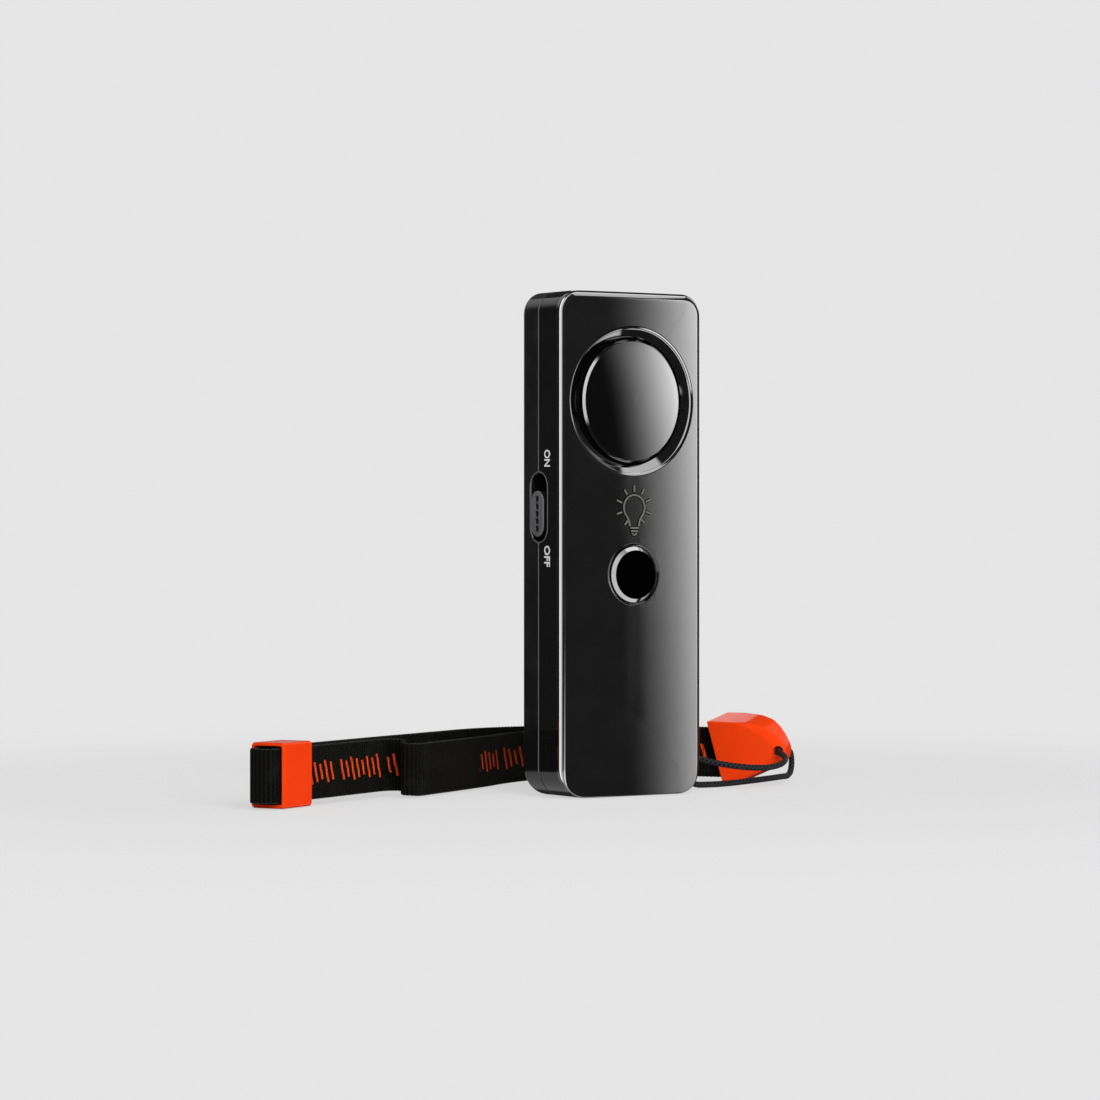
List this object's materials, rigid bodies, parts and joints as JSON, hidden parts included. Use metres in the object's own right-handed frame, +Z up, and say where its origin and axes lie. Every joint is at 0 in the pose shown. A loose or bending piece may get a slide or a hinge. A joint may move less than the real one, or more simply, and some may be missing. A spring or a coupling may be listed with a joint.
{
  "type": "personal safety alarm",
  "caption": "Slim upright personal safety alarm with a domed siren, torch button, side alarm switch, battery bay and a woven wrist strap on a thin lanyard cord.",
  "frame": {"origin": "middle of the case's foot, on the surface it stands on", "axes": "+Z up along the case, +X to the right seen from the front, +Y from the front face to the rear"},
  "size_m": [0.1593, 0.061, 0.12],
  "materials": {
    "case_black": "high gloss",
    "knob_grey": "matt",
    "accent_orange": "satin",
    "webbing": "woven",
    "cord": "braided",
    "inner_black": "matt",
    "board_green": "solder mask",
    "contact_steel": "nickel plated",
    "screw_steel": "zinc plated",
    "piezo_brass": "bright",
    "cell_sleeve": "printed sleeve",
    "switch_body": "matt",
    "lever_white": "matt",
    "plunger_red": "matt",
    "wire_red": "smooth",
    "wire_blue": "smooth",
    "wire_black": "smooth",
    "lens_clear": "polished",
    "lamp_clear": "polished"
  },
  "bodies": {
    "casing": {"front_shell": "case_black", "rear_shell": "case_black", "siren_cap": "case_black", "sounder_cup": "inner_black", "piezo_disc": "piezo_brass", "torch_switch": "switch_body", "alarm_switch": "switch_body", "main_board": "board_green", "boost_coil": "inner_black", "driver_chip": "inner_black", "charge_capacitor": "switch_body", "torch_led": "lamp_clear", "torch_lens": "lens_clear", "led_wires": "wire_red", "sounder_wires": "wire_blue", "battery_cells": "cell_sleeve", "battery_springs": "contact_steel", "battery_plates": "contact_steel", "battery_wires": "wire_black", "case_screws": "screw_steel", "wrist_strap": "webbing", "strap_connector": "accent_orange", "lanyard_cord": "cord", "cord_stops": "contact_steel"},
    "alarm_slider": {"alarm_knob": "knob_grey", "switch_lever": "lever_white"},
    "torch_key": {"torch_button": "case_black", "torch_plunger": "plunger_red"},
    "door": {"battery_door": "case_black"},
    "keeper": {"strap_keeper": "accent_orange"}
  },
  "joints": [
    {"name": "alarm_slide", "type": "slide", "parent": "casing", "child": "alarm_slider", "axis": [0, 0, 1], "range_m": [0, 0.004]},
    {"name": "torch_press", "type": "slide", "parent": "casing", "child": "torch_key", "axis": [0, 1, 0], "range_m": [0, 0.0005], "stiffness_N_per_m": 800, "springref_m": -0.0006},
    {"name": "door_hinge", "type": "hinge", "parent": "casing", "child": "door", "pos_m": [0, 0.0075, 0.0049], "axis": [-1, 0, 0], "range_deg": [0, 60]},
    {"name": "keeper_slide", "type": "slide", "parent": "casing", "child": "keeper", "axis": [0.8886, 0.4586, 0], "range_m": [0, 0.03]}
  ]
}
